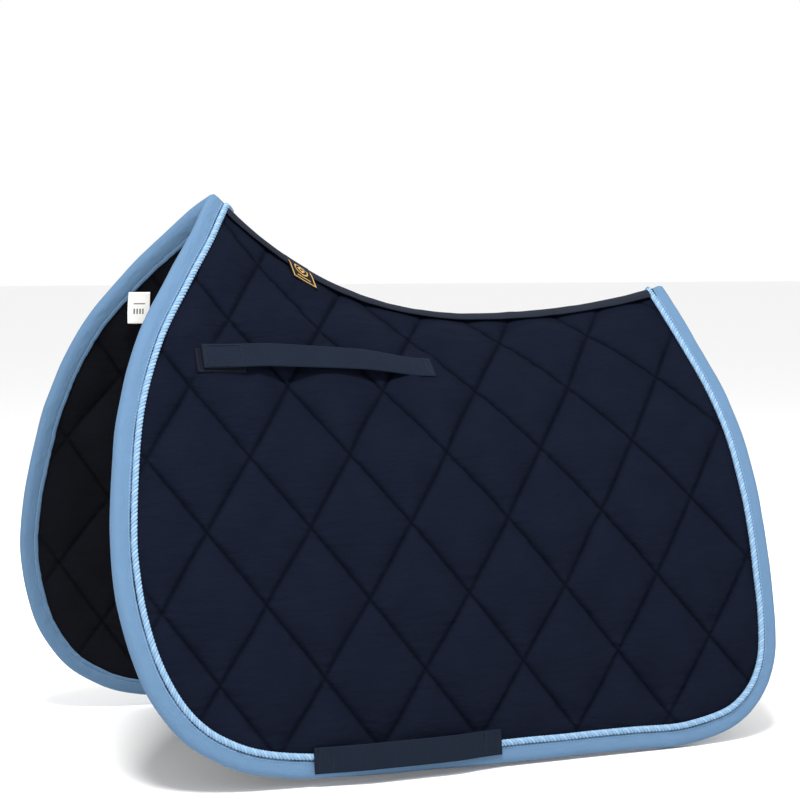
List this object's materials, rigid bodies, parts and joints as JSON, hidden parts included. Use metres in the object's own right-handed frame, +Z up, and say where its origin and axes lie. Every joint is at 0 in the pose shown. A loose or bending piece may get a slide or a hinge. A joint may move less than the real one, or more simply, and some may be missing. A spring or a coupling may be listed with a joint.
{
  "type": "saddle pad",
  "caption": "Quilted general-purpose saddle pad with bound, corded edge, a contoured spine, billet straps, girth straps and folding flaps.",
  "frame": {"origin": "underside of the spine seam at the lowest point of the seat, where the pad rests on the horse", "axes": "+X towards the tail, +Y the horse's right, +Z up"},
  "size_m": [0.6861, 0.4454, 0.5455],
  "materials": {
    "cover_navy": "quilted fine woven cotton, matt",
    "wadding_white": "needled polyester wadding",
    "lining_black": "quilted brushed mesh lining",
    "binding_blue": "plain woven cotton tape",
    "cord_blue": "twisted cord, blue and pale strands",
    "tape_navy": "twill tape",
    "webbing_navy": "woven polypropylene webbing",
    "closure_black": "hook and loop tape",
    "label_woven": "damask woven label with a gold border",
    "tag_satin": "printed satin ribbon"
  },
  "bodies": {
    "saddle_panel": {"left_cover_top": "cover_navy", "left_wadding_top": "wadding_white", "left_lining_top": "lining_black", "right_cover_top": "cover_navy", "right_wadding_top": "wadding_white", "right_lining_top": "lining_black", "binding_wither": "binding_blue", "binding_cantle": "binding_blue", "cord_wither": "cord_blue", "cord_cantle": "cord_blue", "spine_tape": "tape_navy", "seam_tape": "tape_navy", "woven_label": "label_woven", "left_loop_patch": "closure_black", "left_billet_tack": "webbing_navy", "right_loop_patch": "closure_black", "right_billet_tack": "webbing_navy"},
    "left_flap": {"left_cover_flap": "cover_navy", "left_wadding_flap": "wadding_white", "left_lining_flap": "lining_black", "left_binding_flap": "binding_blue", "left_cord_flap": "cord_blue", "left_girth_strap": "webbing_navy"},
    "right_flap": {"right_cover_flap": "cover_navy", "right_wadding_flap": "wadding_white", "right_lining_flap": "lining_black", "right_binding_flap": "binding_blue", "right_cord_flap": "cord_blue", "right_girth_strap": "webbing_navy"},
    "left_billet": {"left_billet_strap": "webbing_navy", "left_hook_patch": "closure_black"},
    "right_billet": {"right_billet_strap": "webbing_navy", "right_hook_patch": "closure_black"},
    "size_tag": {"size_tag": "tag_satin"}
  },
  "joints": [
    {"name": "left_flap_fold", "type": "hinge", "parent": "saddle_panel", "child": "left_flap", "pos_m": [0, -0.1244, -0.1062], "axis": [-1, 0, 0], "range_deg": [-33, 60]},
    {"name": "right_flap_fold", "type": "hinge", "parent": "saddle_panel", "child": "right_flap", "pos_m": [0, 0.1244, -0.1062], "axis": [1, 0, 0], "range_deg": [-33, 60]},
    {"name": "left_billet_open", "type": "hinge", "parent": "saddle_panel", "child": "left_billet", "pos_m": [-0.093, -0.07558, -0.03442], "axis": [0, 0.697, 0.717], "range_deg": [0, 150]},
    {"name": "right_billet_open", "type": "hinge", "parent": "saddle_panel", "child": "right_billet", "pos_m": [-0.093, 0.07558, -0.03442], "axis": [0, 0.697, -0.717], "range_deg": [0, 150]},
    {"name": "size_tag_flip", "type": "hinge", "parent": "saddle_panel", "child": "size_tag", "pos_m": [-0.339, 0.06585, 0.03841], "axis": [-1, 0, 0], "range_deg": [-6, 75]}
  ]
}
